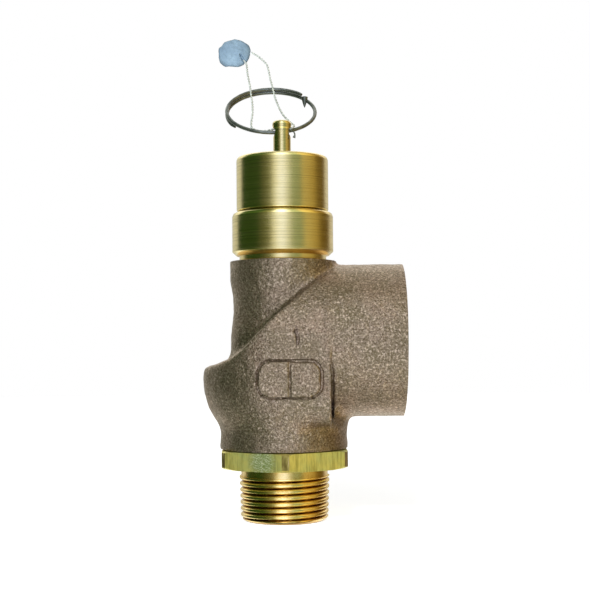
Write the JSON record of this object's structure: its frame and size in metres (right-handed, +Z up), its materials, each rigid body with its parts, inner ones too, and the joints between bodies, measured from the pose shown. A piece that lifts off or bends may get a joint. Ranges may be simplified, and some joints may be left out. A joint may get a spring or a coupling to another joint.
{
  "type": "pressure relief valve",
  "caption": "Angle pattern pressure relief valve: bronze body, threaded brass inlet, side outlet, spring under a brass cap, pull ring with a wired lead seal.",
  "frame": {"origin": "on the valve's axis at the end face of the inlet thread, which screws into the pipe", "axes": "+Z up the stem, +X out of the outlet, -Y the side with the raised pad"},
  "size_m": [0.0589, 0.046, 0.1487],
  "materials": {
    "cast_bronze": "sand cast, dull",
    "turned_brass": "turned, bright",
    "bright_steel": "ground",
    "dark_steel": "dark spring steel",
    "wire_steel": "galvanised wire",
    "lead": "dull blue grey lead",
    "white_ptfe": "smooth"
  },
  "bodies": {
    "valve": {"valve_body": "cast_bronze", "inlet_nozzle": "turned_brass", "guide": "turned_brass", "bonnet": "turned_brass", "cap": "turned_brass", "adjusting_screw": "turned_brass", "lock_nut": "turned_brass", "upper_spring_step": "turned_brass", "spring": "bright_steel"},
    "disc": {"disc_holder": "turned_brass", "seat_disc": "white_ptfe", "disc_retainer": "bright_steel", "disc_screw": "bright_steel", "stem_pin": "bright_steel", "lower_spring_step": "turned_brass"},
    "spindle": {"stem": "turned_brass"},
    "ring": {"pull_ring": "dark_steel"},
    "seal": {"seal_wire": "wire_steel", "lead_seal": "lead"}
  },
  "joints": [
    {"name": "disc_lift", "type": "slide", "parent": "valve", "child": "disc", "axis": [0, 0, 1], "range_m": [0, 0.0035], "stiffness_N_per_m": 8900, "springref_m": -0.0055, "deforming": ["spring"]},
    {"name": "stem_swivel", "type": "hinge", "parent": "disc", "child": "spindle", "pos_m": [0, 0, 0.06], "axis": [0, 0, 1], "continuous": true},
    {"name": "ring_swing", "type": "hinge", "parent": "spindle", "child": "ring", "pos_m": [0, 0, 0.1153], "axis": [1, 0, 0], "range_deg": [-58, 110]},
    {"name": "seal_swing", "type": "hinge", "parent": "ring", "child": "seal", "pos_m": [0, 0, 0.1153], "axis": [1, 0, 0], "range_deg": [-9, 19]}
  ]
}
